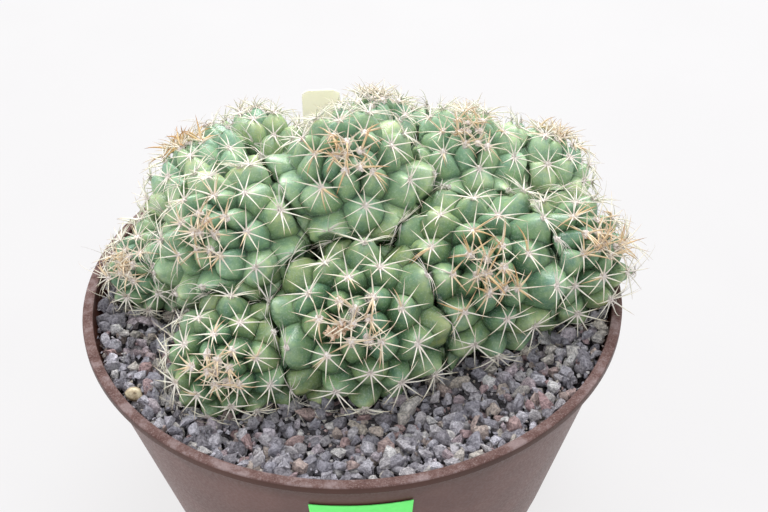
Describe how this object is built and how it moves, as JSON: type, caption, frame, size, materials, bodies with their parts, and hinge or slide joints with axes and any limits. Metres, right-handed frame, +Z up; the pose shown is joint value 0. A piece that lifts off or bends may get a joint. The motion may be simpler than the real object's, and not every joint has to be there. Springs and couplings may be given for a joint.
{
  "type": "potted cactus",
  "caption": "Clump of globular, warty cactus heads with star-shaped spine clusters, growing in a round plastic pot topped with crushed gravel, with a blank tag and sticker.",
  "frame": {"origin": "centre of the pot's flat underside, on the surface that the pot stands on", "axes": "+Z up along the pot's axis; -Y to the front, where the sticker is; +X to the right seen from the front"},
  "size_m": [0.2185, 0.2128, 0.1622],
  "materials": {
    "pot": "satin",
    "potting_mix": "matte",
    "gravel": "matte",
    "plant": "satin",
    "pot_label": "matte",
    "plant_label": "satin"
  },
  "bodies": {
    "root": {"pot": "pot", "potting_mix": "potting_mix", "gravel": "gravel", "head_01": "plant", "head_02": "plant", "head_03": "plant", "head_04": "plant", "head_05": "plant", "head_06": "plant", "head_07": "plant", "head_08": "plant", "head_09": "plant", "head_10": "plant", "head_11": "plant", "head_12": "plant", "head_13": "plant", "head_14": "plant", "pot_label": "pot_label", "plant_label": "plant_label"}
  },
  "joints": []
}
